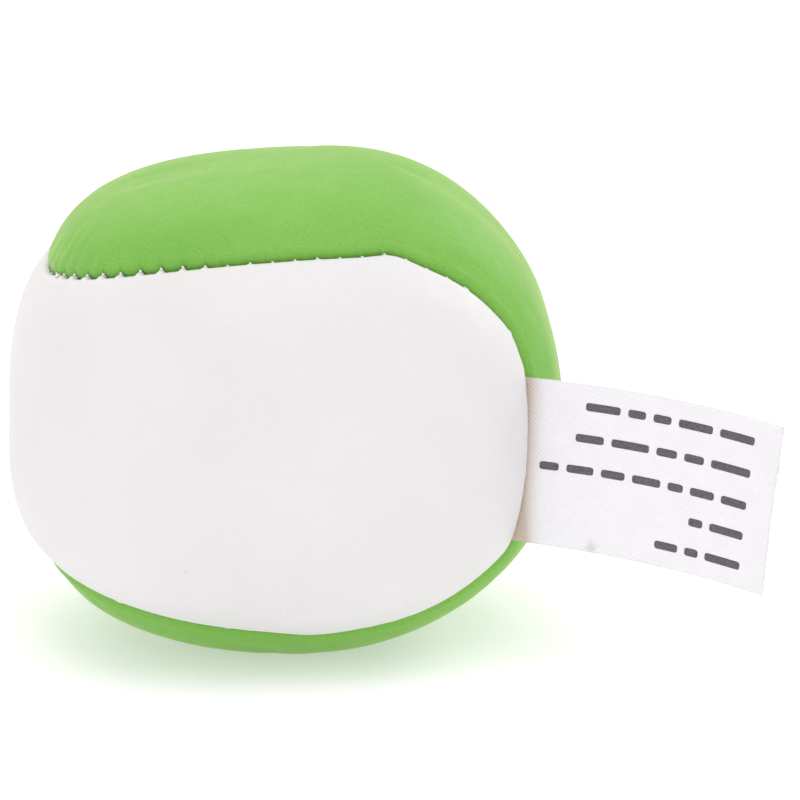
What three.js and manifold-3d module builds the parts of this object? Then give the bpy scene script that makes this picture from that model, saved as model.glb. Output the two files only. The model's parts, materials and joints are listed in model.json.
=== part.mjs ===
// A soft two-panel juggling ball: two dog-bone panels of coated knit, sewn edge to edge along one
// closed seam, filled with loose pellets, with a tape label caught in the seam.
// Millimetres, +Z up. The origin is the centre of the flat patch that the ball rests on. The white
// panel's waist is at -X and its lobes are at -Y and +Y. The green panel's waist is at +X and its
// lobes are at +Z and -Z. The label stands out towards +X.
import * as THREE from "three";
import { mergeVertices } from "three/addons/utils/BufferGeometryUtils.js";
import Module from "manifold-3d";

const wasm = await Module();
wasm.setup();

// The filled ball: a rounded box-like ellipsoid, because flat panels bend but hardly stretch.
const BALL_WIDTH = 63.5;
const HALF_SIZE = new THREE.Vector3(BALL_WIDTH / 2, BALL_WIDTH * 0.48, BALL_WIDTH * 0.437);
const FULLNESS = 2.48;
const CENTRE_HEIGHT = BALL_WIDTH * 0.431;
const SETTLE_BLEND = 0.6;

// Low waves in the outline seen from the front, because the pellets pack unevenly: how many crests
// go round, their height as a share of the radius, and where one crest is, from +X towards +Z.
const FILL_WAVES = [
  { crests: 2, height: 0.006, at: THREE.MathUtils.degToRad(66) },
  { crests: 4, height: 0.006, at: THREE.MathUtils.degToRad(-8) },
  { crests: 5, height: 0.015, at: THREE.MathUtils.degToRad(-8.5) },
];

// The seam, one closed curve that divides the ball like the seam of a tennis ball.
const SEAM_WAVE = 0.4;
const SEAM_REACH = 1.087;
const SEAM_SQUARENESS = -0.047;
const SEAM_SKEW = -0.019;
const TANGENT_STEP = 0.005;

// The solids' surfaces have one column of corners at each of these steps round the seam.
const SEAM_STEPS = 66;
const SEAM_STEP = (2 * Math.PI) / SEAM_STEPS;

// The panels.
const SKIN = 0.9;
const TURN_RADIUS = 1.8;
const SEAM_ALLOWANCE = 4;
const SEAM_HALF_GAP = 0.15;
const DIP_DEPTH = 0.5;
const DIP_WIDTH = 7;
const LOBE_CENTRE = THREE.MathUtils.degToRad(-8);
const LOBE_FAN = THREE.MathUtils.degToRad(40);
const SPINE_OFFSET = 0.07;

// The threads and the stretch of seam that is closed by hand after filling.
const THREAD_RADIUS = 0.2;
const STITCH_DEPTH = 2.4;
const OPENING_START = THREE.MathUtils.degToRad(72);
const OPENING_END = THREE.MathUtils.degToRad(46);
const CLOSING_DEPTH = 0.8;
const CLOSING_SWING = 0.08;
const CLOSING_STITCHES = 8;
const STEPS_PER_STITCH = 4;
const KNOT_RADIUS = 0.55;
const KNOT_DEPTH = 0.275;

// The label, a strip of woven tape.
const LABEL_WIDTH = 19;
const LABEL_LENGTH = 30;
const LABEL_THICKNESS = 0.3;
const LABEL_TURN = THREE.MathUtils.degToRad(28);
const LABEL_LEAN = THREE.MathUtils.degToRad(18);
const LABEL_TILT = THREE.MathUtils.degToRad(4.5);
const LABEL_TAIL = 3;
const LABEL_SEAM_ANGLE = -SEAM_STEP / 2;
const LABEL_HALF_ANGLE = 2 * SEAM_STEP;
const LABEL_HINGE_DEPTH = 1;
const LABEL_HALF_GAP = 0.45;

// Clearance between solids that touch in the real ball, and the fineness of their surfaces.
const CLEARANCE = 0.3;
const OUTER_ROWS = 9;
const INNER_ROWS = 6;
const TURN_STEPS = 3;
const THREAD_SIDES = 6;
const THREAD_STEPS = 84;
const LABEL_STEPS = 10;

const WHITE = {
  lobe: new THREE.Vector3(0, -1, 0),
  waist: new THREE.Vector3(-1, 0, 0),
  phase: 0,
};
const GREEN = {
  lobe: new THREE.Vector3(0, 0, 1),
  waist: new THREE.Vector3(1, 0, 0),
  phase: Math.PI / 2,
};

// Distance from the ball's centre to its surface along a unit direction.
function ballRadius(direction) {
  const x = Math.abs(direction.x) / HALF_SIZE.x;
  const y = Math.abs(direction.y) / HALF_SIZE.y;
  const z = Math.abs(direction.z) / HALF_SIZE.z;
  const even = (x ** FULLNESS + y ** FULLNESS + z ** FULLNESS) ** (-1 / FULLNESS);
  const around = Math.atan2(direction.z, direction.x);
  const fromAxis = Math.hypot(direction.x, direction.z);
  let swell = 1;
  for (const { crests, height, at } of FILL_WAVES) {
    swell += height * fromAxis ** crests * Math.cos(crests * (around - at));
  }
  return even * swell;
}

// The sewing pattern's seam direction before the label straightens it.
function patternSeam(angle) {
  return new THREE.Vector3(
    SEAM_REACH * (Math.cos(2 * angle) + SEAM_SQUARENESS * Math.cos(6 * angle)),
    -Math.cos(angle) + SEAM_WAVE * Math.cos(3 * angle),
    Math.sin(angle) + SEAM_WAVE * Math.sin(3 * angle) + SEAM_SKEW * Math.cos(2 * angle),
  ).normalize();
}

// Difference of two seam angles, between -PI and PI.
function angleBetween(angle, other) {
  const turn = 2 * Math.PI;
  return THREE.MathUtils.euclideanModulo(angle - other + Math.PI, turn) - Math.PI;
}

// Unit vector from the ball's centre to the seam: the stiff label pulls its stretch straight.
function seamDirection(angle) {
  const fromLabel = angleBetween(angle, LABEL_SEAM_ANGLE);
  if (Math.abs(fromLabel) >= LABEL_HALF_ANGLE) return patternSeam(angle);
  const low = patternSeam(LABEL_SEAM_ANGLE - LABEL_HALF_ANGLE);
  const high = patternSeam(LABEL_SEAM_ANGLE + LABEL_HALF_ANGLE);
  return low.lerp(high, (fromLabel / LABEL_HALF_ANGLE + 1) / 2).normalize();
}

function seamTangent(angle) {
  const ahead = seamDirection(angle + TANGENT_STEP);
  return ahead.sub(seamDirection(angle - TANGENT_STEP)).normalize();
}

// Half the gap between the two seam allowances, wider where they hold the label.
function halfGap(angle) {
  const fromLabel = Math.abs(angleBetween(angle, LABEL_SEAM_ANGLE));
  const end = LABEL_HALF_ANGLE + SEAM_STEP;
  const away = THREE.MathUtils.smoothstep(fromLabel, LABEL_HALF_ANGLE, end);
  return THREE.MathUtils.lerp(LABEL_HALF_GAP, SEAM_HALF_GAP, away);
}

// Middle line of a panel, opposite the seam point: it ends at the two lobe centres.
function spineDirection(panel, angle) {
  const fromLobe = Math.abs(angleBetween(angle, panel.phase));
  const along = THREE.MathUtils.clamp((fromLobe - LOBE_FAN) / (Math.PI - 2 * LOBE_FAN), 0, 1);
  const bend = THREE.MathUtils.lerp(LOBE_CENTRE, Math.PI - LOBE_CENTRE, along);
  const side = new THREE.Vector3().crossVectors(panel.lobe, panel.waist);
  return new THREE.Vector3()
    .addScaledVector(panel.lobe, Math.cos(bend))
    .addScaledVector(panel.waist, Math.sin(bend))
    .addScaledVector(side, SPINE_OFFSET)
    .normalize();
}

// Direction in the surface, square to the seam, that points into a panel.
function intoPanel(panel, angle) {
  const outward = seamDirection(angle);
  const inward = spineDirection(panel, angle).sub(outward);
  inward.addScaledVector(outward, -inward.dot(outward));
  const tangent = seamTangent(angle);
  return inward.addScaledVector(tangent, -inward.dot(tangent)).normalize();
}

// Raises a point from the ball's centre to its place, and flattens it where the ball rests.
function settle(point, floor) {
  const height = point.z + CENTRE_HEIGHT - floor;
  let settled = height;
  if (height < SETTLE_BLEND) {
    settled = Math.max(0, height + SETTLE_BLEND) ** 2 / (4 * SETTLE_BLEND);
  }
  return new THREE.Vector3(point.x, point.y, settled + floor);
}

// A point beside the seam: `across` into the panel and `depth` below the panels' edge level.
function edgePoint(panel, angle, across, depth) {
  const outward = seamDirection(angle);
  const point = outward.clone().multiplyScalar(ballRadius(outward) - DIP_DEPTH - depth);
  return settle(point.addScaledVector(intoPanel(panel, angle), across), 0);
}

// A point of a panel's skin, from its spine (share 0) to the start of its turned edge (share 1).
function skinPoint(panel, angle, share, inset) {
  const outward = seamDirection(angle);
  const level = ballRadius(outward) - DIP_DEPTH;
  const edge = outward.multiplyScalar(level);
  edge.addScaledVector(intoPanel(panel, angle), halfGap(angle) + TURN_RADIUS).normalize();
  const direction = spineDirection(panel, angle).lerp(edge, share).normalize();
  const fromEdge = direction.distanceTo(edge) * level;
  const dip = DIP_DEPTH * Math.max(0, 1 - fromEdge / DIP_WIDTH) ** 2;
  const radius = ballRadius(direction) - dip - inset;
  return settle(direction.multiplyScalar(radius), inset);
}

function seamAngles() {
  return Array.from({ length: SEAM_STEPS }, (_, i) => (i + 0.5) * SEAM_STEP);
}

// Closes rows of points round the seam into one solid. The first and last rows fold onto a spine.
function closedGrid(rows, reverse) {
  const positions = rows.flat().flatMap((point) => point.toArray());
  const corners = [];
  for (let row = 0; row + 1 < rows.length; row++) {
    for (let column = 0; column < SEAM_STEPS; column++) {
      const a = row * SEAM_STEPS + column;
      const b = row * SEAM_STEPS + ((column + 1) % SEAM_STEPS);
      const c = a + SEAM_STEPS;
      const d = b + SEAM_STEPS;
      corners.push(a, b, d, a, d, c);
    }
  }
  const geometry = new THREE.BufferGeometry();
  geometry.setAttribute("position", new THREE.Float32BufferAttribute(positions, 3));
  geometry.setIndex(reverse ? corners.reverse() : corners);
  return withoutSlivers(mergeVertices(geometry, 1e-3));
}

// Drops the triangles that have no area because two of their corners are one vertex.
function withoutSlivers(geometry) {
  const index = geometry.index.array;
  const kept = [];
  for (let i = 0; i < index.length; i += 3) {
    const [a, b, c] = index.subarray(i, i + 3);
    if (a !== b && b !== c && c !== a) kept.push(a, b, c);
  }
  geometry.setIndex(kept);
  geometry.computeVertexNormals();
  return geometry;
}

function shares(count) {
  return Array.from({ length: count + 1 }, (_, i) => i / count);
}

// A panel: outer skin, turned edge, seam allowance and inner skin.
function panelGeometry(panel) {
  const angles = seamAngles();
  const rows = [];
  for (const share of shares(OUTER_ROWS)) {
    rows.push(angles.map((angle) => skinPoint(panel, angle, share, 0)));
  }
  for (const share of shares(TURN_STEPS).slice(1)) {
    const turned = (share * Math.PI) / 2;
    const across = TURN_RADIUS * (1 - Math.sin(turned));
    const depth = TURN_RADIUS * (1 - Math.cos(turned));
    rows.push(angles.map((angle) => edgePoint(panel, angle, halfGap(angle) + across, depth)));
  }
  for (const [across, depth] of [
    [0, SEAM_ALLOWANCE],
    [SKIN, SEAM_ALLOWANCE],
    [SKIN, TURN_RADIUS],
  ]) {
    rows.push(angles.map((angle) => edgePoint(panel, angle, halfGap(angle) + across, depth)));
  }
  for (const share of shares(INNER_ROWS).reverse()) {
    rows.push(angles.map((angle) => skinPoint(panel, angle, share, SKIN)));
  }
  return closedGrid(rows, panel === WHITE);
}

// The pellets as they pack together: everything inside the skins, with a valley under the seam.
function fillGeometry() {
  const angles = seamAngles();
  const inset = SKIN + CLEARANCE;
  const wall = SKIN + 2 * THREAD_RADIUS + 3 * CLEARANCE;
  const floor = SEAM_ALLOWANCE + 2 * CLEARANCE;
  const half = (panel) => [
    ...shares(INNER_ROWS).map((share) =>
      angles.map((angle) => skinPoint(panel, angle, share, inset)),
    ),
    angles.map((angle) => edgePoint(panel, angle, halfGap(angle) + wall, TURN_RADIUS)),
    angles.map((angle) => edgePoint(panel, angle, halfGap(angle) + wall, floor)),
  ];
  return closedGrid([...half(WHITE), ...half(GREEN).reverse()], true);
}

// A path that follows the seam at a set place beside it.
class SeamPath extends THREE.Curve {
  constructor(start, end, place) {
    super();
    Object.assign(this, { start, end, place });
  }
  getPoint(share) {
    return this.place(THREE.MathUtils.lerp(this.start, this.end, share), share);
  }
}

function threadGeometry(path, steps) {
  const section = new THREE.Shape().absarc(0, 0, THREAD_RADIUS, 0, 2 * Math.PI);
  return new THREE.ExtrudeGeometry(section, {
    steps,
    extrudePath: path,
    bevelEnabled: false,
    curveSegments: THREAD_SIDES / 2,
  });
}

// One of the two machine threads, on the back of its panel's seam allowance.
function machineThread(panel) {
  const place = (angle) => {
    const across = halfGap(angle) + SKIN + 1.5 * CLEARANCE + THREAD_RADIUS;
    return edgePoint(panel, angle, across, STITCH_DEPTH);
  };
  const path = new SeamPath(OPENING_START, OPENING_END + 2 * Math.PI, place);
  return threadGeometry(path, THREAD_STEPS);
}

function solidOf(geometry) {
  const bare = geometry.clone();
  bare.deleteAttribute("normal");
  bare.deleteAttribute("uv");
  const merged = mergeVertices(bare, 1e-4);
  const mesh = {
    numProp: 3,
    vertProperties: merged.attributes.position.array,
    triVerts: new Uint32Array(merged.index.array),
  };
  return new wasm.Manifold(new wasm.Mesh(mesh));
}

function geometryOf(solid) {
  const mesh = solid.getMesh();
  const geometry = new THREE.BufferGeometry();
  geometry.setAttribute("position", new THREE.BufferAttribute(mesh.vertProperties, 3));
  geometry.setIndex(new THREE.BufferAttribute(mesh.triVerts, 1));
  geometry.computeVertexNormals();
  return geometry;
}

// The hand-sewn ladder stitch in the groove over the filling opening, and its finishing knot.
function closingThread() {
  const place = (angle, share) => {
    const swing = CLOSING_SWING * Math.sin(share * CLOSING_STITCHES * 2 * Math.PI);
    return edgePoint(WHITE, angle, swing, CLOSING_DEPTH);
  };
  const path = new SeamPath(OPENING_START, OPENING_END, place);
  const thread = solidOf(threadGeometry(path, STEPS_PER_STITCH * CLOSING_STITCHES));
  const knot = new THREE.IcosahedronGeometry(KNOT_RADIUS, 1);
  knot.translate(...edgePoint(WHITE, OPENING_END, 0, KNOT_DEPTH).toArray());
  return geometryOf(thread.add(solidOf(knot)));
}

// The label's own axes: `along` runs up its sewn edge, `out` leads away from the ball.
function labelFrame() {
  const middle = seamDirection(LABEL_SEAM_ANGLE);
  const along = seamTangent(LABEL_SEAM_ANGLE);
  const out = middle.clone().addScaledVector(along, -middle.dot(along)).normalize();
  const across = new THREE.Vector3().crossVectors(along, out);
  along.applyAxisAngle(across, -LABEL_TILT);
  out.applyAxisAngle(across, -LABEL_TILT);
  const depth = DIP_DEPTH + LABEL_HINGE_DEPTH;
  const hinge = middle.clone().multiplyScalar(ballRadius(middle) - depth);
  hinge.z += CENTRE_HEIGHT;
  return { along, out, across, hinge };
}

// Stands a shape drawn in the plane of `out` and `across` up along the label's sewn edge.
function labelPiece(shape, turn) {
  const { along, out, across, hinge } = labelFrame();
  const geometry = new THREE.ExtrudeGeometry(shape, {
    depth: LABEL_WIDTH,
    bevelEnabled: false,
    curveSegments: LABEL_STEPS,
  });
  geometry.translate(0, 0, -LABEL_WIDTH / 2);
  geometry.rotateZ(turn);
  geometry.applyMatrix4(new THREE.Matrix4().makeBasis(out, across, along));
  geometry.translate(...hinge.toArray());
  return geometry;
}

// The free length of the tape, which curls a little towards -Y.
function labelFlag() {
  const radius = LABEL_LENGTH / LABEL_TURN;
  const half = LABEL_THICKNESS / 2;
  const start = Math.PI / 2;
  const first = start - CLEARANCE / radius;
  const last = start - LABEL_TURN;
  const shape = new THREE.Shape();
  shape.absarc(0, -radius, radius + half, first, last, true);
  shape.absarc(0, -radius, radius - half, last, first, false);
  return labelPiece(shape, LABEL_LEAN);
}

// The end of the tape that is caught between the two seam allowances.
function labelTail() {
  const half = LABEL_THICKNESS / 2;
  const shape = new THREE.Shape([
    new THREE.Vector2(-LABEL_TAIL, -half),
    new THREE.Vector2(0, -half),
    new THREE.Vector2(0, half),
    new THREE.Vector2(-LABEL_TAIL, half),
  ]);
  return labelPiece(shape, 0);
}

const whiteVinyl = new THREE.MeshStandardMaterial({ color: 0xf0edf0, roughness: 0.5, metalness: 0 });
const greenVinyl = new THREE.MeshStandardMaterial({ color: 0x84c464, roughness: 0.42, metalness: 0 });
const thread = new THREE.MeshStandardMaterial({ color: 0xf4f2f4, roughness: 0.8, metalness: 0 });
const tape = new THREE.MeshStandardMaterial({ color: 0xf5f2f8, roughness: 0.75, metalness: 0 });
const pellets = new THREE.MeshStandardMaterial({ color: 0xd9d6cc, roughness: 0.6, metalness: 0 });

function piece(name, geometry, material) {
  const mesh = new THREE.Mesh(geometry, material);
  mesh.name = name;
  return mesh;
}

const cover = new THREE.Group();
cover.add(piece("white_panel", panelGeometry(WHITE), whiteVinyl));
cover.add(piece("green_panel", panelGeometry(GREEN), greenVinyl));

const stitching = new THREE.Group();
stitching.add(piece("needle_thread", machineThread(WHITE), thread));
stitching.add(piece("bobbin_thread", machineThread(GREEN), thread));
stitching.add(piece("closing_thread", closingThread(), thread));

const label = new THREE.Group();
label.add(piece("label_tail", labelTail(), tape));
label.add(piece("label_flag", labelFlag(), tape));

const ball = new THREE.Group();
ball.add(cover, stitching, label);
ball.add(piece("pellet_fill", fillGeometry(), pellets));

export default ball;
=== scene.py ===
"""Looks of a soft two-panel juggling ball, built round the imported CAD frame.

Metres, +Z up, origin at the centre of the patch the ball rests on. The white panel's waist is at -X
and its lobes are at -Y and +Y; the green panel's waist is at +X and its lobes at +Z and -Z. Both are
sewn together along one closed seam, whose place is given by an angle that runs once round it.
"""
import json
import math

import bmesh
import bpy
import numpy as np
from mathutils import Matrix, Vector
from mathutils.kdtree import KDTree


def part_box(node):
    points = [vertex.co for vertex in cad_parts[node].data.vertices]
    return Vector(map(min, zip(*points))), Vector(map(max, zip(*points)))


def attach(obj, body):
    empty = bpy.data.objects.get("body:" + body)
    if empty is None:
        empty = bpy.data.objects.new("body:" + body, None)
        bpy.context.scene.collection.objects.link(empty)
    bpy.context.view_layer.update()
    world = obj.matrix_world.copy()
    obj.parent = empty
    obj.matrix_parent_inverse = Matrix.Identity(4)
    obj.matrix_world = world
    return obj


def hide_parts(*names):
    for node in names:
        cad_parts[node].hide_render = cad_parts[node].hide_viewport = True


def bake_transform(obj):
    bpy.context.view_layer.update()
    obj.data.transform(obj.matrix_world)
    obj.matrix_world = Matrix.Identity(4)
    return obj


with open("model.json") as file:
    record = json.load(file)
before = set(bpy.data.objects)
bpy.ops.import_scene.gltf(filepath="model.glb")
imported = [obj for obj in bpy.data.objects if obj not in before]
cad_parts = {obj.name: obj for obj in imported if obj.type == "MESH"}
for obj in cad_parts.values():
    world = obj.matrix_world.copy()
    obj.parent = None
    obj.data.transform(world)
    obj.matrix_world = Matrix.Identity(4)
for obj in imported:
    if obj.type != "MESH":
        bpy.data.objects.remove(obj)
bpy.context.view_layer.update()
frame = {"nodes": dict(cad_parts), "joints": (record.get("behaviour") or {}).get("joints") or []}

MM = 0.001
TURN = 2 * math.pi

# The filled ball, sized from the frame's white panel: its depth and height are shares of its width.
DEPTH_SHARE = 0.96
HALF_HEIGHT_SHARE = 0.437
white_low, white_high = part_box("white_panel")
BALL_WIDTH = (white_high.y - white_low.y) / DEPTH_SHARE
HALF_SIZE = BALL_WIDTH * np.array([0.5, DEPTH_SHARE / 2, HALF_HEIGHT_SHARE])
FULLNESS = 2.48
CENTRE_HEIGHT = BALL_WIDTH * 0.431
CENTRE = np.array([0, 0, CENTRE_HEIGHT])
SETTLE_BLEND = 0.6 * MM

# Low waves in the outline seen from the front: how many crests go round, their height as a share of
# the radius, and where one crest is, from +X towards +Z.
FILL_WAVES = (
    (2, 0.006, math.radians(66)),
    (4, 0.006, math.radians(-8)),
    (5, 0.015, math.radians(-8.5)),
)

# The seam and the panels' middle lines.
SEAM_WAVE = 0.4
SEAM_REACH = 1.087
SEAM_SQUARENESS = -0.047
SEAM_SKEW = -0.019
LOBE_CENTRE = math.radians(-8)
LOBE_FAN = math.radians(40)
SPINE_OFFSET = 0.07

# The label's straight stretch of seam.
CAD_SEAM_STEPS = 66
LABEL_SEAM_ANGLE = -math.pi / CAD_SEAM_STEPS
LABEL_HALF_ANGLE = 2 * TURN / CAD_SEAM_STEPS
LABEL_FADE = TURN / CAD_SEAM_STEPS

# The sewn edges.
SKIN = 0.9 * MM
SEAM_ALLOWANCE = 4 * MM
DIP_DEPTH = 0.5 * MM
DIP_WIDTH = 7 * MM
TURN_STEPS = 6
LABEL_THICKNESS = 0.28 * MM
LABEL_CLEARANCE = 0.03 * MM

# The stitches, and the stretch of seam that is closed by hand after filling.
STITCHES = 132
HAND_START = math.radians(55)
HAND_END = math.radians(80)
HAND_FADE = math.radians(3)
THREAD_RADIUS = 0.11 * MM
HAND_THREAD_RADIUS = THREAD_RADIUS * 1.2

# Half the width of a stitch across the groove, and how deep it lies, on each kind of seam.
MACHINE_STITCH = (0.17 * MM, 0.72 * MM)
HAND_STITCH = (0.2 * MM, 0.6 * MM)
STITCH_ARCH = 0.8 * MM
STITCH_SLANT = 0.05

# Where uneven cutting and sewing draw the seam into the green panel: angle, distance and half width.
SEAM_PULLS = (
    (math.radians(32), 0.9 * MM, math.radians(4.5)),
    (math.radians(13), 0.4 * MM, math.radians(4)),
    (math.radians(-13), 1.3 * MM, math.radians(6)),
    (math.radians(-42), 0.8 * MM, math.radians(6)),
)
KNOT_SINK = 0.45 * MM
KNOT_SIZE = 0.16 * MM
KNOT_FLATNESS = 0.7

# Uneven stitches, in millimetres: the least of each measure and how far above it chance takes it.
MACHINE_TOOTH = (0.02, 0.24)
HAND_TOOTH = (0.34, 0.2)
PUCKER_DEPTH = (0.05, 0.1)
HAND_PUCKER = 0.06
PUCKER_REACH = (1.5, 3)
PUCKER_HALF_WIDTH = 0.3
GROOVE_OPENING = 0.1 * MM
TOOTH_HALF_WIDTH = 0.2

# Fineness of the panels: columns across one stitch, closer together at its tooth, and rows.
STITCH_COLUMNS = np.array([-0.5, -0.32, -0.19, -0.09, 0, 0.09, 0.19, 0.32])
OUTER_ROWS = 44
INNER_ROWS = 8
ROW_CROWDING = 1.4

WHITE = {
    "name": "white",
    "lobe": np.array([0.0, -1.0, 0.0]),
    "waist": np.array([-1.0, 0.0, 0.0]),
    "phase": 0.0,
    "side": -1,
    "turn": 0.9 * MM,
    "gap": 0.04 * MM,
    "pucker": 0.22,
}
GREEN = {
    "name": "green",
    "lobe": np.array([0.0, 0.0, 1.0]),
    "waist": np.array([1.0, 0.0, 0.0]),
    "phase": math.pi / 2,
    "side": 1,
    "turn": 1.5 * MM,
    "gap": 0.1 * MM,
    "pucker": 0.45,
}


# ---------------------------------------------------------------- the ball's surface

def unit(vectors):
    return vectors / np.linalg.norm(vectors, axis=-1, keepdims=True)


def ball_radius(direction):
    """Distance from the ball's centre to its surface along unit directions."""
    share = np.abs(direction) / HALF_SIZE
    even = (share**FULLNESS).sum(-1) ** (-1 / FULLNESS)
    around = np.arctan2(direction[..., 2], direction[..., 0])
    from_axis = np.hypot(direction[..., 0], direction[..., 2])
    swell = 1
    for crests, height, at in FILL_WAVES:
        swell = swell + height * from_axis**crests * np.cos(crests * (around - at))
    return even * swell


def settle(points, floor):
    """Raises points from the ball's centre to their place, and flattens them where the ball rests."""
    placed = points + CENTRE
    height = placed[..., 2] - floor
    pressed = np.maximum(0, height + SETTLE_BLEND) ** 2 / (4 * SETTLE_BLEND)
    placed[..., 2] = np.where(height < SETTLE_BLEND, pressed, height) + floor
    return placed


def angle_between(angle, other):
    return (angle - other + math.pi) % TURN - math.pi


def pattern_seam(angle):
    """The sewing pattern's seam direction before the label straightens it."""
    x = SEAM_REACH * (np.cos(2 * angle) + SEAM_SQUARENESS * np.cos(6 * angle))
    y = -np.cos(angle) + SEAM_WAVE * np.cos(3 * angle)
    z = np.sin(angle) + SEAM_WAVE * np.sin(3 * angle) + SEAM_SKEW * np.cos(2 * angle)
    return unit(np.stack([x, y, z], -1))


def seam_direction(angle):
    """Unit vectors from the ball's centre to the seam: the label pulls its stretch straight."""
    from_label = angle_between(angle, LABEL_SEAM_ANGLE)
    low = pattern_seam(np.array(LABEL_SEAM_ANGLE - LABEL_HALF_ANGLE))
    high = pattern_seam(np.array(LABEL_SEAM_ANGLE + LABEL_HALF_ANGLE))
    share = ((from_label / LABEL_HALF_ANGLE + 1) / 2)[..., None]
    straight = unit(low + (high - low) * share)
    on_label = (np.abs(from_label) < LABEL_HALF_ANGLE)[..., None]
    return np.where(on_label, straight, pattern_seam(angle))


def seam_tangent(angle):
    step = 0.005
    return unit(seam_direction(angle + step) - seam_direction(angle - step))


def spine_direction(panel, angle):
    """The panel's middle line, opposite the seam point: it ends at the two lobe centres."""
    from_lobe = np.abs(angle_between(angle, panel["phase"]))
    along = np.clip((from_lobe - LOBE_FAN) / (math.pi - 2 * LOBE_FAN), 0, 1)
    bend = LOBE_CENTRE + (math.pi - 2 * LOBE_CENTRE) * along
    side = np.cross(panel["lobe"], panel["waist"])
    lobe_part = np.cos(bend)[..., None] * panel["lobe"]
    waist_part = np.sin(bend)[..., None] * panel["waist"]
    return unit(lobe_part + waist_part + SPINE_OFFSET * side)


def into_panel(panel, angle):
    """Directions in the surface, square to the seam, that point into a panel."""
    outward = seam_direction(angle)
    inward = spine_direction(panel, angle) - outward
    inward = inward - (inward * outward).sum(-1, keepdims=True) * outward
    tangent = seam_tangent(angle)
    return unit(inward - (inward * tangent).sum(-1, keepdims=True) * tangent)


# ---------------------------------------------------------------- the seam's stitches

def seam_by_length():
    """Seam angles at even steps of the seam's length, and that length."""
    angles = np.linspace(0, TURN, 4001)
    points = seam_direction(angles) * ball_radius(seam_direction(angles))[:, None]
    steps = np.linalg.norm(np.diff(points, axis=0), axis=1)
    lengths = np.concatenate([[0], np.cumsum(steps)])
    return angles, lengths


SEAM_ANGLES, SEAM_LENGTHS = seam_by_length()
STITCH_PITCH = SEAM_LENGTHS[-1] / STITCHES


def angle_at(stitch):
    """The seam angle at a place counted in stitches from the seam's start."""
    length = (np.asarray(stitch, float) % STITCHES) * STITCH_PITCH
    return np.interp(length, SEAM_LENGTHS, SEAM_ANGLES)


def hand_share(angle):
    """1 on the stretch closed by hand, 0 on the machine-sewn seam, and a short fade between."""
    middle = (HAND_START + HAND_END) / 2
    half = (HAND_END - HAND_START) / 2
    from_middle = np.abs(angle_between(angle, middle))
    return np.clip((half - from_middle) / HAND_FADE + 0.5, 0, 1)


def stitch_sizes():
    """Each stitch's tooth height and pucker depth: seeded, uneven, and larger where hand sewn."""
    rng = np.random.default_rng(11)
    by_hand = hand_share(angle_at(np.arange(STITCHES)))
    machine_tooth = MACHINE_TOOTH[1] * rng.random(STITCHES) ** 3 + MACHINE_TOOTH[0]
    hand_tooth = HAND_TOOTH[0] + HAND_TOOTH[1] * rng.random(STITCHES)
    tooth = (machine_tooth + (hand_tooth - machine_tooth) * by_hand) * MM
    depth = PUCKER_DEPTH[0] + PUCKER_DEPTH[1] * rng.random(STITCHES)
    pucker = (depth + HAND_PUCKER * by_hand) * MM
    reach = (PUCKER_REACH[0] + PUCKER_REACH[1] * rng.random(STITCHES) ** 2) * MM
    return tooth, pucker, reach


TOOTH, PUCKER, REACH = stitch_sizes()


def label_share(angle):
    """1 where the seam holds the label, 0 elsewhere."""
    from_label = np.abs(angle_between(angle, LABEL_SEAM_ANGLE))
    share = np.clip((LABEL_HALF_ANGLE + LABEL_FADE - from_label) / LABEL_FADE, 0, 1)
    return share * share * (3 - 2 * share)


def seam_pull(angle):
    """How far the sewn seam lies from its pattern line, into the green panel."""
    pull = 0
    for at, distance, half_width in SEAM_PULLS:
        from_pull = angle_between(angle, at) / half_width
        pull = pull + distance / (1 + from_pull**2) ** 2
    return pull


def edge_shift(panel, stitch):
    """How far a panel's turned edge lies from the seam's middle line, at places in stitches."""
    number = np.round(stitch).astype(int) % STITCHES
    from_stitch = np.abs(stitch - np.round(stitch))
    tooth = TOOTH[number] * np.clip(1 - from_stitch / TOOTH_HALF_WIDTH, 0, 1)
    held = label_share(angle_at(stitch))
    gap = panel["gap"] * (1 - held) + (LABEL_THICKNESS / 2 + LABEL_CLEARANCE) * held
    opening = GROOVE_OPENING * np.sin(math.pi * np.clip(from_stitch * 2, 0, 1)) ** 2
    if panel is WHITE:
        opening = 0
    drawn = tooth * (1 - held) + seam_pull(angle_at(stitch))
    return gap + opening + panel["side"] * drawn


def pucker_depth(panel, stitch, from_edge):
    """How far the skin is drawn in beside each stitch, less and less into the panel."""
    depth = np.zeros(np.broadcast(stitch, from_edge).shape)
    nearest = np.round(stitch).astype(int)
    for offset in (-1, 0, 1):
        number = (nearest + offset) % STITCHES
        along = (stitch - nearest - offset) / PUCKER_HALF_WIDTH
        fade = np.exp(-from_edge / REACH[number])
        depth += PUCKER[number] * np.exp(-(along**2)) * fade
    return panel["pucker"] * depth


def edge_point(panel, stitch, across, depth):
    """A point beside the seam: `across` into the panel and `depth` below the edge's level."""
    angle = angle_at(stitch)
    outward = seam_direction(angle)
    level = ball_radius(outward) - DIP_DEPTH - depth
    return outward * level[:, None] + into_panel(panel, angle) * np.reshape(across, (-1, 1))


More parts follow.
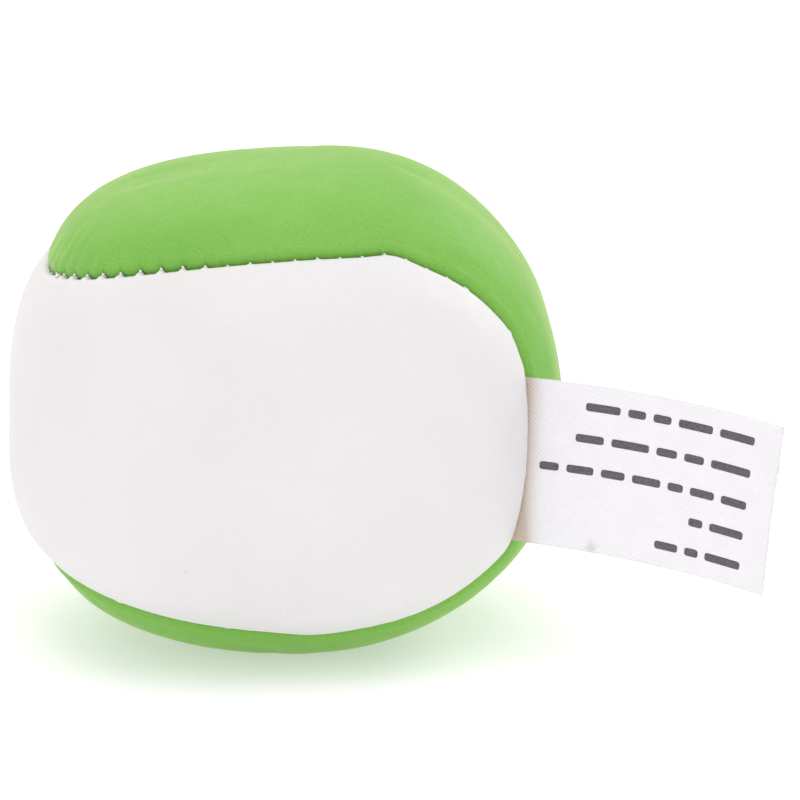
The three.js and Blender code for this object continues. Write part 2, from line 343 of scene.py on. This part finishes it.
def skin_point(panel, stitch, share, inset):
    """Points of a panel's skin, from its spine (share 0) to the start of its turned edge (share 1)."""
    angle = angle_at(stitch)
    outward = seam_direction(angle)
    level = ball_radius(outward) - DIP_DEPTH
    across = edge_shift(panel, stitch) + panel["turn"]
    edge = unit(outward * level[:, None] + into_panel(panel, angle) * across[:, None])
    spine = spine_direction(panel, angle)
    direction = unit(spine + (edge - spine) * share)
    from_edge = np.linalg.norm(direction - edge, axis=-1) * level
    dip = DIP_DEPTH * np.maximum(0, 1 - from_edge / DIP_WIDTH) ** 2
    near_spine = np.clip(share * 4, 0, 1)
    relief = pucker_depth(panel, stitch, from_edge) * near_spine
    radius = ball_radius(direction) - dip - relief - inset
    return direction * radius[:, None]


# ---------------------------------------------------------------- cloth simulation of the cover

# The blank starts a little small. What it moves is capped, and a share of that is used.
SIM_FRAMES = 20
SIM_CAP = 0.9 * MM
SIM_SHARE = 0.4
SIM_START = 0.985
SIM_PRESSURE = 4
SIM_STRETCH_STIFFNESS = 12
SIM_BEND_STIFFNESS = 0.4
SIM_MASS = 0.15
SIM_SHRINK = -0.02
SIM_QUALITY = 6
PIN_REACH = 3.2 * MM
PIN_FADE = 2 * MM
SWELL_NEIGHBOURS = 7


def cover_blank():
    """One even closed mesh of the whole cover, a little small, for the simulation."""
    mesh = bpy.data.meshes.new("cover_blank")
    builder = bmesh.new()
    bmesh.ops.create_icosphere(builder, subdivisions=6, radius=1)
    builder.to_mesh(mesh)
    builder.free()
    directions = unit(vertices_of(mesh))
    points = directions * ball_radius(directions)[:, None] * SIM_START
    mesh.vertices.foreach_set("co", points.astype(np.float32).ravel())
    blank = bpy.data.objects.new("cover_blank", mesh)
    bpy.context.scene.collection.objects.link(blank)
    return blank, directions


def vertices_of(mesh):
    points = np.zeros(len(mesh.vertices) * 3, np.float32)
    mesh.vertices.foreach_get("co", points)
    return points.reshape(-1, 3).astype(float)


def pin_seam(blank, directions):
    """Holds the blank along the seam, where the stitches hold the real cover."""
    seam = seam_direction(np.linspace(0, TURN, 721)[:-1])
    nearest = np.max(directions @ seam.T, axis=1)
    distance = np.arccos(np.clip(nearest, -1, 1)) * BALL_WIDTH / 2
    held = np.clip((PIN_REACH - distance) / PIN_FADE, 0, 1)
    group = blank.vertex_groups.new(name="seam")
    for number in np.nonzero(held > 0)[0]:
        group.add([int(number)], float(held[number]), "REPLACE")
    return group


def simulate_cover():
    """How far the pressed, gathered cover moves, as unit directions and outward distances."""
    blank, directions = cover_blank()
    start = vertices_of(blank.data)
    cloth = blank.modifiers.new("cloth", "CLOTH")
    cloth.settings.vertex_group_mass = pin_seam(blank, directions).name
    cloth.settings.quality = SIM_QUALITY
    cloth.settings.mass = SIM_MASS
    cloth.settings.tension_stiffness = SIM_STRETCH_STIFFNESS
    cloth.settings.compression_stiffness = SIM_STRETCH_STIFFNESS
    cloth.settings.bending_stiffness = SIM_BEND_STIFFNESS
    cloth.settings.shrink_min = SIM_SHRINK
    cloth.settings.use_pressure = True
    cloth.settings.uniform_pressure_force = SIM_PRESSURE
    cloth.settings.effector_weights.gravity = 0
    cloth.collision_settings.use_self_collision = False
    cloth.point_cache.frame_end = SIM_FRAMES
    scene = bpy.context.scene
    for number in range(1, SIM_FRAMES + 1):
        scene.frame_set(number)
    shaped = blank.evaluated_get(bpy.context.evaluated_depsgraph_get())
    moved = vertices_of(shaped.data) - start
    scene.frame_set(1)
    bpy.data.objects.remove(blank)
    outward = (moved * directions).sum(-1)
    return directions, SIM_SHARE * np.clip(outward - outward.mean(), -SIM_CAP, SIM_CAP)


def swell_lookup():
    """A function from unit directions to how far the simulated cover stands out there."""
    directions, outward = simulate_cover()
    tree = KDTree(len(directions))
    for number, direction in enumerate(directions):
        tree.insert(direction, number)
    tree.balance()

    def swell(wanted):
        found = np.zeros(len(wanted))
        for place, direction in enumerate(wanted):
            near = tree.find_n(direction, SWELL_NEIGHBOURS)
            spread = max(hit[2] for hit in near)
            weights = [(1 - (hit[2] / spread) ** 2) ** 2 + 1e-6 for hit in near]
            total = sum(w * outward[hit[1]] for w, hit in zip(weights, near))
            found[place] = total / sum(weights)
        return found

    return swell


# ---------------------------------------------------------------- mesh helpers

def mesh_object(name, points, faces, material, uvs=None):
    mesh = bpy.data.meshes.new(name)
    mesh.from_pydata([tuple(p) for p in points], [], faces)
    if uvs is not None:
        layer = mesh.uv_layers.new(name="UVMap")
        corners = np.zeros(len(mesh.loops), np.int32)
        mesh.loops.foreach_get("vertex_index", corners)
        layer.data.foreach_set("uv", np.asarray(uvs, np.float32)[corners].ravel())
    mesh.materials.append(material)
    mesh.shade_smooth()
    made = bpy.data.objects.new(name, mesh)
    bpy.context.scene.collection.objects.link(made)
    return made


def merge_close(made, distance=1e-3 * MM):
    """Joins corners that lie in one place and turns every face outwards."""
    builder = bmesh.new()
    builder.from_mesh(made.data)
    bmesh.ops.remove_doubles(builder, verts=builder.verts, dist=distance)
    bmesh.ops.dissolve_degenerate(builder, edges=builder.edges, dist=distance / 10)
    bmesh.ops.recalc_face_normals(builder, faces=builder.faces)
    builder.to_mesh(made.data)
    builder.free()
    made.data.shade_smooth()


def ring_faces(rows, columns, closed_rows=False):
    """Faces of a grid whose columns close into a ring, and its rows too if asked."""
    faces = []
    for row in range(rows if closed_rows else rows - 1):
        below = row * columns
        above = (row + 1) % rows * columns
        for column in range(columns):
            beside = (column + 1) % columns
            faces.append((below + column, below + beside, above + beside, above + column))
    return faces


def tube(path, radius, sides=8):
    """Points, faces and UVs of a closed round tube along a path; U runs along it in millimetres."""
    path = np.asarray(path, float)
    tangents = unit(np.gradient(path, axis=0))
    normal = unit(np.cross(tangents[0], [0.3, 0.5, 0.81]))
    lengths = np.concatenate([[0], np.cumsum(np.linalg.norm(np.diff(path, axis=0), axis=1))])
    points = []
    uvs = []
    radii = np.broadcast_to(radius, len(path))
    for place, tangent in enumerate(tangents):
        normal = unit(normal - normal.dot(tangent) * tangent)
        other = np.cross(tangent, normal)
        for side in range(sides):
            turn = TURN * side / sides
            rim = math.cos(turn) * normal + math.sin(turn) * other
            points.append(path[place] + radii[place] * rim)
            uvs.append((lengths[place] / MM, side / sides))
    faces = []
    for place in range(len(path) - 1):
        for side in range(sides):
            a = place * sides + side
            b = place * sides + (side + 1) % sides
            faces.append((a, b, b + sides, a + sides))
    faces.append(tuple(range(sides))[::-1])
    last = (len(path) - 1) * sides
    faces.append(tuple(range(last, last + sides)))
    return points, faces, uvs


def tubes_object(name, paths, radius, material):
    """One mesh of many tubes."""
    points, faces, uvs = [], [], []
    for path in paths:
        first = len(points)
        more_points, more_faces, more_uvs = tube(path, radius)
        points += more_points
        faces += [tuple(first + corner for corner in face) for face in more_faces]
        uvs += more_uvs
    return mesh_object(name, points, faces, material, uvs)


# ---------------------------------------------------------------- materials

GREEN_VINYL = (0.207, 0.488, 0.07)
GREEN_SHADE = (0.18, 0.455, 0.064)
GREEN_SHEEN = (0.95, 0.88, 0.5, 1)
WHITE_VINYL = (0.768, 0.747, 0.768)
WHITE_SHADE = (0.74, 0.718, 0.726)
DIRT = (0.62, 0.57, 0.52, 1)
THREAD_LIGHT = (0.88, 0.87, 0.89, 1)
THREAD_DARK = (0.70, 0.69, 0.71, 1)
PELLET_LIGHT = (0.74, 0.72, 0.66)
PELLET_DARK = (0.38, 0.36, 0.32)
TAPE_LIGHT = (0.89, 0.875, 0.91)
TAPE_DARK = (0.86, 0.842, 0.88)
# The brownish tone of a painted shade at the label's sewn root.
TAPE_ROOT_PAINTED_SHADE = (0.60, 0.50, 0.42, 1)
TAPE_SMUDGE = (0.42, 0.38, 0.38, 1)
INK_DARK = (0.065, 0.055, 0.07)
INK_LIGHT = (0.15, 0.135, 0.155)

# Pitches of the tape's weave, in millimetres.
WARP_PITCH = 0.24
WEFT_PITCH = 0.3
TWILL_PITCH = 0.55


def node_material(name):
    material = bpy.data.materials.new(name)
    material.use_nodes = True
    tree = material.node_tree
    shader = tree.nodes["Principled BSDF"]
    return material, tree, shader


def add(tree, kind, inputs=None, **settings):
    """Adds a node, sets its properties, and links or sets its inputs."""
    made = tree.nodes.new(kind)
    for key, value in settings.items():
        setattr(made, key, value)
    for key, value in (inputs or {}).items():
        if isinstance(value, bpy.types.NodeSocket):
            tree.links.new(value, made.inputs[key])
        else:
            made.inputs[key].default_value = value
    return made


def millimetres(tree):
    """Object coordinates in millimetres."""
    place = add(tree, "ShaderNodeTexCoord").outputs["Object"]
    return add(tree, "ShaderNodeMapping", {"Vector": place, "Scale": (1000, 1000, 1000)}).outputs[0]


def noise(tree, place, scale, detail=2, roughness=0.5):
    inputs = {"Vector": place, "Scale": scale, "Detail": detail, "Roughness": roughness}
    return add(tree, "ShaderNodeTexNoise", inputs).outputs["Fac"]


def ramp(tree, factor, low, high):
    """A colour ramp from one colour to another over the middle of the factor's range."""
    made = add(tree, "ShaderNodeValToRGB", {"Fac": factor})
    made.color_ramp.elements[0].position = 0.3
    made.color_ramp.elements[1].position = 0.7
    made.color_ramp.elements[0].color = (*low, 1)
    made.color_ramp.elements[1].color = (*high, 1)
    return made.outputs["Color"]


def remap(tree, value, low, high, to_low, to_high):
    inputs = {"Value": value, 1: low, 2: high, 3: to_low, 4: to_high}
    return add(tree, "ShaderNodeMapRange", inputs).outputs[0]


def mix(tree, factor, first, second, blend="MIX"):
    made = add(tree, "ShaderNodeMix", data_type="RGBA", blend_type=blend)
    for socket, value in ((made.inputs[0], factor), (made.inputs[6], first), (made.inputs[7], second)):
        if isinstance(value, bpy.types.NodeSocket):
            tree.links.new(value, socket)
        else:
            socket.default_value = value
    return made.outputs[2]


def bump(tree, height, strength, distance, below=None):
    inputs = {"Height": height, "Strength": strength, "Distance": distance}
    if below is not None:
        inputs["Normal"] = below
    return add(tree, "ShaderNodeBump", inputs).outputs[0]


def vinyl_material(name, colour, shade, roughness, grain_strength):
    """Soft coated knit: a fine pebbled grain over a faint knit, cloudy colour and uneven gloss."""
    material, tree, shader = node_material(name)
    place = millimetres(tree)
    clouds = noise(tree, place, 0.07, 3)
    grain = add(tree, "ShaderNodeTexVoronoi", {"Vector": place, "Scale": 3.2}).outputs["Distance"]
    knit = noise(tree, place, 4.5, 2, 0.6)
    base = ramp(tree, clouds, shade, colour)
    fine = remap(tree, knit, 0.3, 0.7, 1 - 0.12 * grain_strength, 1 + 0.06 * grain_strength)
    base = mix(tree, 1.0, base, fine, "MULTIPLY")
    gloss = remap(tree, noise(tree, place, 0.5, 3), 0.3, 0.7, roughness - 0.06, roughness + 0.06)
    tree.links.new(gloss, shader.inputs["Roughness"])
    pebbles = bump(tree, grain, grain_strength, 0.012 * MM)
    tree.links.new(bump(tree, knit, grain_strength, 0.02 * MM, pebbles), shader.inputs["Normal"])
    return material, tree, shader, place, base


def green_material():
    material, tree, shader, place, base = vinyl_material(
        "green_vinyl_look", GREEN_VINYL, GREEN_SHADE, 0.56, 1.0
    )
    tree.links.new(base, shader.inputs["Base Color"])
    shader.inputs["Specular IOR Level"].default_value = 0.35
    shader.inputs["Sheen Weight"].default_value = 0.3
    shader.inputs["Sheen Roughness"].default_value = 0.3
    shader.inputs["Sheen Tint"].default_value = GREEN_SHEEN
    return material


def white_material():
    """White vinyl: almost plain, with a few faint specks of dirt pressed into it."""
    material, tree, shader, place, base = vinyl_material(
        "white_vinyl_look", WHITE_VINYL, WHITE_SHADE, 0.5, 0.25
    )
    specks = add(tree, "ShaderNodeTexVoronoi", {"Vector": place, "Scale": 0.22}).outputs["Distance"]
    spots = remap(tree, specks, 0.02, 0.07, 0.35, 0)
    base = mix(tree, spots, base, DIRT)
    tree.links.new(base, shader.inputs["Base Color"])
    return material


def thread_material():
    """Twisted polyester thread: slanting plies from the tube's own UVs."""
    material, tree, shader = node_material("thread_look")
    uv = add(tree, "ShaderNodeTexCoord").outputs["UV"]
    parts = add(tree, "ShaderNodeSeparateXYZ", {0: uv})
    slant = add(tree, "ShaderNodeMath", {0: parts.outputs[0], 1: 2.2}, operation="MULTIPLY")
    phase = add(tree, "ShaderNodeMath", {0: slant.outputs[0], 1: parts.outputs[1]}, operation="ADD")
    turn = add(tree, "ShaderNodeMath", {0: phase.outputs[0], 1: TURN}, operation="MULTIPLY")
    plies = add(tree, "ShaderNodeMath", {0: turn.outputs[0]}, operation="SINE").outputs[0]
    tone = remap(tree, plies, -1, 1, 0, 1)
    base = mix(tree, tone, THREAD_DARK, THREAD_LIGHT)
    tree.links.new(base, shader.inputs["Base Color"])
    tree.links.new(remap(tree, plies, -1, 1, 0.75, 0.55), shader.inputs["Roughness"])
    tree.links.new(bump(tree, plies, 0.6, 0.05 * MM), shader.inputs["Normal"])
    return material


def pellet_material():
    """Small pale plastic pellets, as a cell pattern."""
    material, tree, shader = node_material("pellets_look")
    place = millimetres(tree)
    cells = add(tree, "ShaderNodeTexVoronoi", {"Vector": place, "Scale": 0.4})
    tone = ramp(tree, cells.outputs["Distance"], PELLET_LIGHT, PELLET_DARK)
    tree.links.new(tone, shader.inputs["Base Color"])
    tree.links.new(remap(tree, noise(tree, place, 2), 0.3, 0.7, 0.35, 0.6), shader.inputs["Roughness"])
    tree.links.new(bump(tree, cells.outputs["Distance"], 1, 1 * MM), shader.inputs["Normal"])
    return material


def wave(tree, value, pitch):
    """A sine of a length in millimetres, from -1 to 1."""
    turned = add(tree, "ShaderNodeMath", {0: value, 1: TURN / pitch}, operation="MULTIPLY")
    return add(tree, "ShaderNodeMath", {0: turned.outputs[0]}, operation="SINE").outputs[0]


def combine(tree, first, second, operation):
    return add(tree, "ShaderNodeMath", {0: first, 1: second}, operation=operation).outputs[0]


def tape_material():
    """Satin label tape: a fine slanting weave, a painted shade where it is sewn in, and one smudge."""
    material, tree, shader = node_material("label_tape_look")
    uv = add(tree, "ShaderNodeTexCoord").outputs["UV"]
    parts = add(tree, "ShaderNodeSeparateXYZ", {0: uv})
    length, width = parts.outputs[0], parts.outputs[1]
    warp = wave(tree, width, WARP_PITCH)
    weft = wave(tree, length, WEFT_PITCH)
    slant = wave(tree, combine(tree, length, width, "ADD"), TWILL_PITCH)
    weave = combine(tree, combine(tree, warp, weft, "MULTIPLY"), slant, "ADD")
    clouds = noise(tree, uv, 0.25, 3)
    base = ramp(tree, clouds, TAPE_DARK, TAPE_LIGHT)
    threads = remap(tree, weave, -2, 2, 0.965, 1.01)
    base = mix(tree, 1.0, base, threads, "MULTIPLY")
    # Painted shade: the tape is darkened to a brownish tone near its sewn root, where it goes in between
    # the panels.
    painted_root_shade = remap(tree, length, 0.2, 2.6, 1, 0)
    painted_root_shade = combine(tree, painted_root_shade, painted_root_shade, "MULTIPLY")
    base = mix(tree, painted_root_shade, base, TAPE_ROOT_PAINTED_SHADE)
    smudge = {0: uv, 1: (SMUDGE[0], SMUDGE[1], 0)}
    from_smudge = add(tree, "ShaderNodeVectorMath", smudge, operation="DISTANCE")
    ragged = combine(tree, from_smudge.outputs["Value"], noise(tree, uv, 2.5, 3), "MULTIPLY")
    base = mix(tree, remap(tree, ragged, 0.1, 0.5, 0.35, 0), base, TAPE_SMUDGE)
    tree.links.new(base, shader.inputs["Base Color"])
    tree.links.new(remap(tree, weave, -2, 2, 0.7, 0.5), shader.inputs["Roughness"])
    tree.links.new(bump(tree, weave, 0.5, 0.03 * MM), shader.inputs["Normal"])
    return material


def ink_material():
    """Dark grey ink on tape, darker and lighter in random clouds."""
    material, tree, shader = node_material("label_ink_look")
    place = millimetres(tree)
    tone = ramp(tree, noise(tree, place, 5, 3), INK_DARK, INK_LIGHT)
    tree.links.new(tone, shader.inputs["Base Color"])
    tree.links.new(remap(tree, noise(tree, place, 8), 0.3, 0.7, 0.5, 0.75), shader.inputs["Roughness"])
    tree.links.new(bump(tree, noise(tree, place, 8), 0.4, 0.01 * MM), shader.inputs["Normal"])
    return material


# ---------------------------------------------------------------- the pieces

def panel_object(panel, material, swell):
    """One panel: outer skin, turned edge, seam allowance and inner skin, as one closed shell."""
    steps = np.arange(STITCHES)[:, None] + STITCH_COLUMNS
    stitch = steps.ravel()
    shares = 1 - np.linspace(1, 0, OUTER_ROWS + 1) ** ROW_CROWDING
    rows = [skin_point(panel, stitch, share, 0) for share in shares]
    flat = np.concatenate(rows)
    directions = unit(flat)
    flat = flat + directions * swell(directions)[:, None]
    rows = list(flat.reshape(len(rows), -1, 3))
    edge = edge_shift(panel, stitch)
    drop = swell(seam_direction(angle_at(stitch)))[:, None] * seam_direction(angle_at(stitch))
    for turned in np.linspace(0, math.pi / 2, TURN_STEPS + 1)[1:]:
        across = edge + panel["turn"] * (1 - math.sin(turned))
        depth = panel["turn"] * (1 - math.cos(turned)) + pucker_depth(panel, stitch, 0 * stitch)
        rows.append(edge_point(panel, stitch, across, depth) + drop)
    for across, depth in ((0, SEAM_ALLOWANCE), (SKIN, SEAM_ALLOWANCE), (SKIN, panel["turn"] + SKIN)):
        rows.append(edge_point(panel, stitch, edge + across, depth) + drop)
    for share in np.linspace(1, 0, INNER_ROWS + 1):
        rows.append(skin_point(panel, stitch, share, SKIN))
    placed = [settle(row, 0) for row in rows]
    faces = ring_faces(len(placed), len(stitch))
    made = mesh_object(panel["name"] + "_cover", np.concatenate(placed), faces, material)
    merge_close(made)
    return made


def stitch_paths(stitches, spread, sink, swell):
    """Short arches of thread that cross the seam's groove, one for each stitch."""
    paths = []
    for number in stitches:
        share = np.linspace(-1, 1, 9)
        angle = angle_at(number + STITCH_SLANT * share)
        outward = seam_direction(angle)
        level = ball_radius(outward) + swell(outward) - DIP_DEPTH - sink
        level = level - STITCH_ARCH * np.abs(share) ** 3
        place = share * spread + TOOTH[number] + seam_pull(angle)
        across = into_panel(GREEN, angle) * place[:, None]
        paths.append(settle(outward * level[:, None] + across, 0))
    return paths


def knot_path(number, swell):
    """The closing thread's knot, a small overhand knot drawn down into the groove."""
    angle = angle_at(np.array([float(number)]))
    drop = swell(seam_direction(angle))[0]
    outward = seam_direction(angle)[0]
    beside = into_panel(GREEN, angle)[0]
    forward = np.cross(outward, beside)
    middle = outward * (ball_radius(outward) + drop - DIP_DEPTH - KNOT_SINK)
    turn = np.linspace(0, TURN, 49)[:-1]
    x = np.sin(turn) + 2 * np.sin(2 * turn)
    y = np.cos(turn) - 2 * np.cos(2 * turn)
    z = -np.sin(3 * turn)
    loop = x[:, None] * forward + y[:, None] * beside * KNOT_FLATNESS + z[:, None] * outward
    return settle(middle + KNOT_SIZE * loop, 0)


def add_threads(material, swell):
    numbers = np.arange(STITCHES)
    angles = angle_at(numbers)
    by_hand = hand_share(angles) > 0.5
    free = label_share(angles) < 0.5
    machine_paths = stitch_paths(numbers[~by_hand & free], *MACHINE_STITCH, swell)
    machine = tubes_object("seam_stitches", machine_paths, THREAD_RADIUS, material)
    hand_numbers = numbers[by_hand & free]
    hand_paths = stitch_paths(hand_numbers, *HAND_STITCH, swell)
    hand_paths.append(knot_path(hand_numbers[-1] + 0.5, swell))
    hand = tubes_object("hand_stitches", hand_paths, HAND_THREAD_RADIUS, material)
    return machine, hand


# The label, placed by the frame's hinge.
bend = frame["joints"][0]
HINGE = np.array(bend["pos_m"])
ALONG = unit(np.array(bend["axis"]))
OUT = unit(HINGE - CENTRE - (HINGE - CENTRE).dot(ALONG) * ALONG)
ACROSS = np.cross(ALONG, OUT)
LABEL_WIDTH = 19 * MM
LABEL_LENGTH = 30 * MM
LABEL_TAIL = 3 * MM
LABEL_TURN = math.radians(28)
LABEL_LEAN = math.radians(18)
LABEL_DROOP = 1.2 * MM
LABEL_CUP = 0.35 * MM
END_SKEW = 0.6 * MM
SELVAGE = 0.7 * MM
SELVAGE_RIDGE = 0.05 * MM
CUT_UNEVENNESS = 0.07 * MM
LABEL_ROOT_ANGLE = math.radians(18.8)

# The smudge's place on the tape, along and across it, in millimetres.
SMUDGE = (8.3, -8.9)

# The ink dashes: each row's place across the tape from its upper edge, and how far back from the free
# end it reaches, both as shares, and the sizes of the dashes.
INK_ROWS = ((0.13, 0.22), (0.32, 0.19), (0.51, 0.06), (0.69, 0.66), (0.87, 0.53))
INK_START = 0.89
INK_HEIGHT = 0.9 * MM
INK_DASHES = (1.6 * MM, 5.5 * MM)
INK_GAP = 0.9 * MM
INK_STEP = 0.3 * MM
INK_LOW = 0.008 * MM
INK_HIGH = 0.022 * MM


def label_point(place, width, lift):
    """Points of the tape at lengths from the hinge, places across it, and heights above its middle."""
    share = np.maximum(place, 0) / LABEL_LENGTH
    sideways = 2 * width / LABEL_WIDTH
    free = np.maximum(place, 0) + END_SKEW * share * sideways
    radius = LABEL_LENGTH / LABEL_TURN
    slope = LABEL_LEAN - free / radius
    out = radius * (math.sin(LABEL_LEAN) - np.sin(slope)) + np.minimum(place, 0)
    across = radius * (np.cos(slope) - math.cos(LABEL_LEAN)) + LABEL_CUP * share * sideways**2
    slope = np.where(place < 0, 0, slope)
    out = out - lift * np.sin(slope)
    across = across + lift * np.cos(slope)
    along = width - LABEL_DROOP * share**2
    root_angle = LABEL_SEAM_ANGLE + width / LABEL_WIDTH * LABEL_ROOT_ANGLE
    across = across + seam_pull(root_angle) * np.clip(1 - share, 0, 1) ** 3
    return HINGE + out[..., None] * OUT + across[..., None] * ACROSS + along[..., None] * ALONG


def plate(lengths, widths, low, high):
    """A thin closed plate on the label: grids of its lengths and widths, between two heights."""
    rows, columns = lengths.shape
    faces = []
    count = lengths.size
    for row in range(rows - 1):
        for column in range(columns - 1):
            a = row * columns + column
            quad = (a, a + 1, a + 1 + columns, a + columns)
            faces.append(quad)
            faces.append(tuple(corner + count for corner in quad[::-1]))
    rim = list(range(columns))
    rim += [row * columns + columns - 1 for row in range(1, rows)]
    rim += [(rows - 1) * columns + column for column in reversed(range(columns - 1))]
    rim += [row * columns for row in reversed(range(1, rows - 1))]
    for first, second in zip(rim, rim[1:] + rim[:1]):
        faces.append((second, first, first + count, second + count))
    sides = [label_point(lengths, widths, height).reshape(-1, 3) for height in (low, high)]
    uvs = np.stack([lengths.ravel(), widths.ravel()], -1) / MM
    return np.concatenate(sides), faces, np.concatenate([uvs, uvs])


def label_object(material):
    """The label tape as one thin curved sheet, from its sewn tail to its cut end."""
    rng = np.random.default_rng(5)
    edge = np.linspace(-0.5, 0.5, 77)
    lengths, widths = np.meshgrid(np.linspace(-LABEL_TAIL, LABEL_LENGTH, 111), edge, indexing="ij")
    widths = widths * LABEL_WIDTH
    lengths[-1] += CUT_UNEVENNESS * rng.standard_normal(len(edge))
    from_edge = LABEL_WIDTH / 2 - np.abs(widths)
    ridge = SELVAGE_RIDGE * np.exp(-((from_edge / SELVAGE - 0.6) ** 2) * 6)
    half = LABEL_THICKNESS / 2 + ridge
    points, faces, uvs = plate(lengths, widths, -half, half)
    made = mesh_object("label_tape", points, faces, material, uvs)
    merge_close(made)
    return made


def ink_dashes():
    """Each dash as its place across the tape and its two ends, in seeded lengths."""
    rng = np.random.default_rng(23)
    for across, reach in INK_ROWS:
        place = INK_START * LABEL_LENGTH
        last = reach * LABEL_LENGTH
        while place - last > INK_DASHES[0]:
            end = max(last, place - rng.uniform(*INK_DASHES))
            yield (0.5 - across) * LABEL_WIDTH, end, place
            place = end - INK_GAP


def ink_object(material):
    """Rows of plain dashes of ink on the tape's front: round-ended bars that spell nothing."""
    points, faces, uvs = [], [], []
    surface = -LABEL_THICKNESS / 2
    for width, low, high in ink_dashes():
        steps = max(8, round((high - low) / INK_STEP))
        spread = (1 - np.cos(np.linspace(0, math.pi, steps + 1))) / 2
        lengths = low + (high - low) * spread
        from_end = np.minimum(lengths - low, high - lengths)
        corner = np.clip(1 - from_end / (0.35 * INK_HEIGHT), 0, 1)
        half = INK_HEIGHT / 2 * (0.45 + 0.55 * np.sqrt(1 - corner**2))
        grid_lengths = np.repeat(lengths[:, None], 5, axis=1)
        grid_widths = width + half[:, None] * np.linspace(-1, 1, 5)
        first = len(points)
        more, more_faces, more_uvs = plate(
            grid_lengths, grid_widths, surface - INK_HIGH, surface - INK_LOW
        )
        points += list(more)
        faces += [tuple(first + corner for corner in face) for face in more_faces]
        uvs += list(more_uvs)
    made = mesh_object("label_print", points, faces, material, uvs)
    merge_close(made)
    return made


# ---------------------------------------------------------------- studio

FLOOR_GLOW = 0.4
FLOOR_REACH = 3
FLOOR_TONES = ((0.69, 0.69, 0.69), (0.7, 0.7, 0.7))
WORLD_STRENGTH = 0.86

# Each lamp: name, place, size, power and colour.
LAMPS = (
    ("key", (0.1, -0.3, 0.8), 0.7, 1.7, (1, 1, 1)),
    ("fill", (-0.8, -0.5, 0.3), 0.6, 0.5, (1, 0.85, 0.92)),
    ("rim", (0.6, 0.55, 0.45), 0.4, 1.5, (1, 0.98, 0.9)),
    ("back", (-0.2, 0.6, 0.7), 0.7, 1.8, (1, 0.95, 0.72)),
)

# The camera: distance and aim are in ball widths, lens and sensor in millimetres.
CAMERA_ELEVATION = math.radians(15.7)
CAMERA_TURN = math.radians(-0.3)
CAMERA_ROLL = math.radians(0.26)
CAMERA_DISTANCE = 7
CAMERA_AIM = (0.2126, -0.0085)
CAMERA_LENS = 173.5
CAMERA_SENSOR = 36


def add_floor():
    """A pale sweep lit from below too, as a light table is, so that shadows on it are faint."""
    material, tree, shader = node_material("floor_look")
    place = add(tree, "ShaderNodeTexCoord").outputs["Object"]
    tone = ramp(tree, noise(tree, place, 3), *FLOOR_TONES)
    tree.links.new(tone, shader.inputs["Base Color"])
    shader.inputs["Roughness"].default_value = 0.9
    shader.inputs["Emission Color"].default_value = (1, 1, 1, 1)
    shader.inputs["Emission Strength"].default_value = FLOOR_GLOW
    reach = FLOOR_REACH
    corners = [(-reach, -reach, 0), (reach, -reach, 0), (reach, reach, 0), (-reach, reach, 0)]
    floor = mesh_object("floor", corners, [(0, 1, 2, 3)], material)


def add_light(name, place, size, power, colour):
    light = bpy.data.lights.new(name, "AREA")
    light.shape = "DISK"
    light.size = size
    light.energy = power
    light.color = colour
    made = bpy.data.objects.new(name, light)
    bpy.context.scene.collection.objects.link(made)
    made.location = place
    aim = Vector(CENTRE) - Vector(place)
    made.rotation_euler = aim.to_track_quat("-Z", "Y").to_euler()


def add_studio():
    world = bpy.data.worlds.new("studio")
    world.use_nodes = True
    world.node_tree.nodes["Background"].inputs["Color"].default_value = (1, 1, 1, 1)
    world.node_tree.nodes["Background"].inputs["Strength"].default_value = WORLD_STRENGTH
    scene = bpy.context.scene
    scene.world = world
    scene.view_settings.view_transform = "Standard"
    for lamp in LAMPS:
        add_light(*lamp)


def add_camera():
    """A long lens, a little above the ball, aimed so that the label is in view too."""
    elevation = CAMERA_ELEVATION
    turn = CAMERA_TURN
    distance = CAMERA_DISTANCE * BALL_WIDTH
    back = np.array([
        math.sin(turn) * math.cos(elevation),
        -math.cos(turn) * math.cos(elevation),
        math.sin(elevation),
    ])
    right = np.array([math.cos(turn), math.sin(turn), 0])
    up = np.cross(back, right)
    target = CENTRE + CAMERA_AIM[0] * BALL_WIDTH * right + CAMERA_AIM[1] * BALL_WIDTH * up
    camera = bpy.data.cameras.new("camera")
    camera.lens = CAMERA_LENS
    camera.sensor_width = CAMERA_SENSOR
    made = bpy.data.objects.new("camera", camera)
    bpy.context.scene.collection.objects.link(made)
    place = CENTRE + distance * back
    look = Vector(place - target).to_track_quat("Z", "Y").to_matrix().to_4x4()
    made.matrix_world = Matrix.Translation(place) @ look @ Matrix.Rotation(CAMERA_ROLL, 4, "Z")
    bpy.context.scene.camera = made


# ---------------------------------------------------------------- assembly

def build():
    swell = swell_lookup()
    thread = thread_material()
    for panel, material in ((WHITE, white_material()), (GREEN, green_material())):
        cover = panel_object(panel, material, swell)
        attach(cover, "ball")
        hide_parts(panel["name"] + "_panel")
    machine, hand = add_threads(thread, swell)
    for piece, stood_for in ((machine, ("needle_thread", "bobbin_thread")), (hand, ("closing_thread",))):
        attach(piece, "ball")
        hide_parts(*stood_for)
    tape = label_object(tape_material())
    ink = ink_object(ink_material())
    for piece in (tape, ink):
        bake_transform(piece)
    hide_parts("label_tail", "label_flag")
    frame["nodes"]["pellet_fill"].material_slots[0].material = pellet_material()
    add_floor()
    add_studio()
    add_camera()


build()
